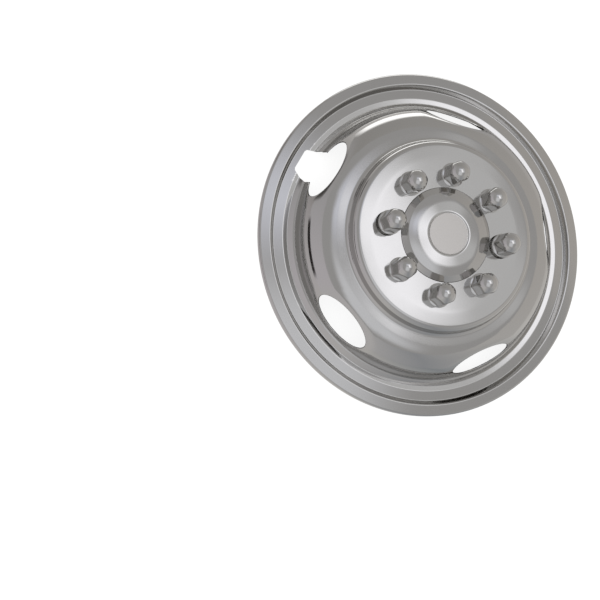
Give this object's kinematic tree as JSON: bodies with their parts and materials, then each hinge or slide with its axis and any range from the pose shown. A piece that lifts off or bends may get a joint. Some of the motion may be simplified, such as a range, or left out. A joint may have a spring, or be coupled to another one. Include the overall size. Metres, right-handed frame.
{
  "type": "truck wheel simulator",
  "caption": "Polished stainless liner that covers a truck's front wheel, with hand holes, a valve notch, acorn lug covers, retaining nuts and a domed centre cap.",
  "frame": {"origin": "centre of the rim lip's back edge, on which the liner lies face up", "axes": "+Z along the wheel's axis, out of the face; -X towards the valve notch"},
  "size_m": [0.477, 0.477, 0.1144],
  "materials": {
    "liner_steel": "mirror-polished stainless sheet",
    "cap_steel": "mirror-polished stainless sheet",
    "cover_steel": "polished stainless",
    "emblem_aluminium": "satin, bare",
    "nut_steel": "zinc-plated"
  },
  "bodies": {
    "root": {"wheel_liner": "liner_steel", "centre_cap": "cap_steel", "emblem_disc": "emblem_aluminium", "lug_cover_1": "cover_steel", "lug_cover_2": "cover_steel", "lug_cover_3": "cover_steel", "lug_cover_4": "cover_steel", "lug_cover_5": "cover_steel", "lug_cover_6": "cover_steel", "retaining_cover_1": "cover_steel", "retaining_cover_2": "cover_steel", "retaining_nut_1": "nut_steel", "retaining_nut_2": "nut_steel"}
  },
  "joints": []
}
